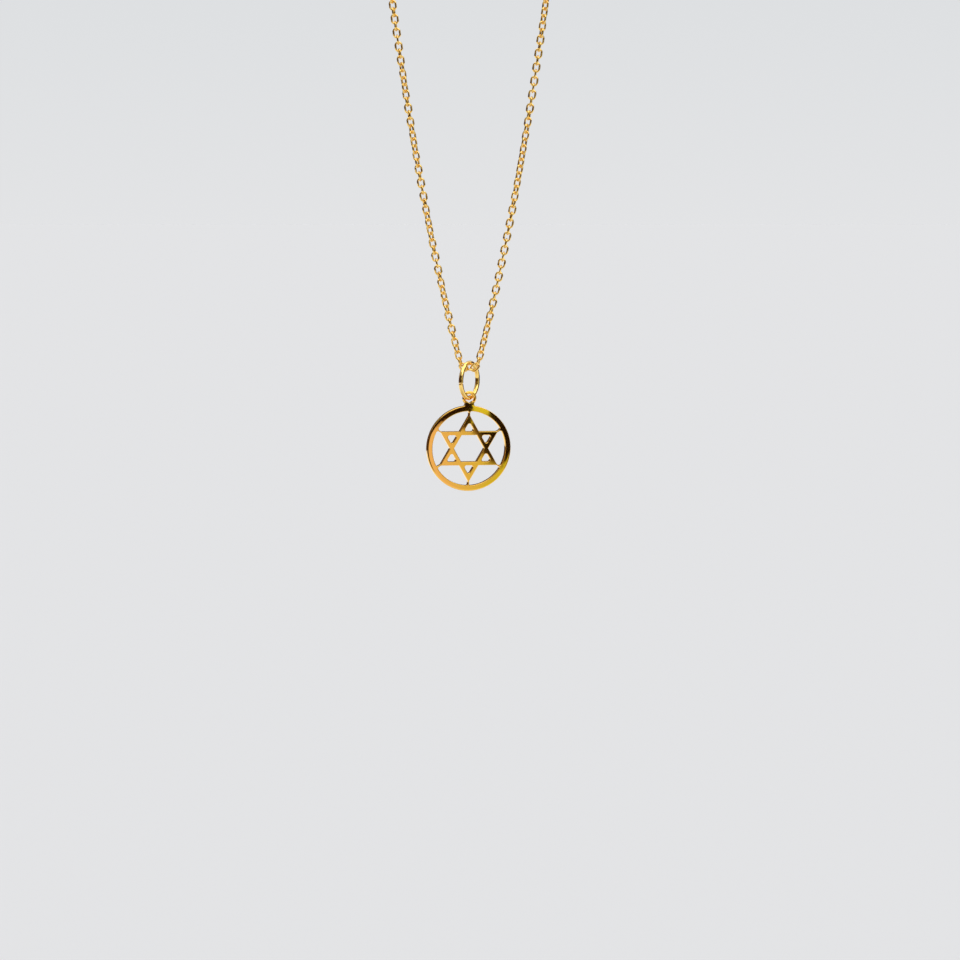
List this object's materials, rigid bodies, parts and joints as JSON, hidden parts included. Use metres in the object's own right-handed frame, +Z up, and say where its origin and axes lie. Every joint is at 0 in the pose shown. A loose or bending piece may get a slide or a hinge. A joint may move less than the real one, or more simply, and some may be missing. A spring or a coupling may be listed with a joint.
{
  "type": "star of david pendant necklace",
  "caption": "Gold pendant: a pierced star of David in a round frame, hung from its soldered eye and a bail ring on a fine cable chain that closes in a plain clasp.",
  "frame": {"origin": "top of the round support that the necklace hangs over, at the middle of the clasp's underside", "axes": "+Z up along the hanging necklace, +X to the right of its front, -Y towards the viewer"},
  "size_m": [0.0508, 0.0062, 0.2304],
  "materials": {
    "disc_gold": "mirror polished yellow gold",
    "ring_gold": "polished yellow gold wire",
    "chain_gold": "polished yellow gold wire",
    "clasp_gold": "polished yellow gold"
  },
  "bodies": {
    "necklace": {"chain": "chain_gold", "clasp": "clasp_gold"},
    "bail_ring": {"jump_ring": "ring_gold"},
    "pendant": {"star_disc": "disc_gold"}
  },
  "joints": [
    {"name": "ring_swing", "type": "hinge", "parent": "necklace", "child": "bail_ring", "pos_m": [0, 0, -0.20754], "axis": [0.9703, -0.2419, 0], "range_deg": [-40, 40]},
    {"name": "disc_swing", "type": "hinge", "parent": "bail_ring", "child": "pendant", "pos_m": [0, 0, -0.21241], "axis": [0.1305, 0.9914, 0], "range_deg": [-40, 40]}
  ]
}
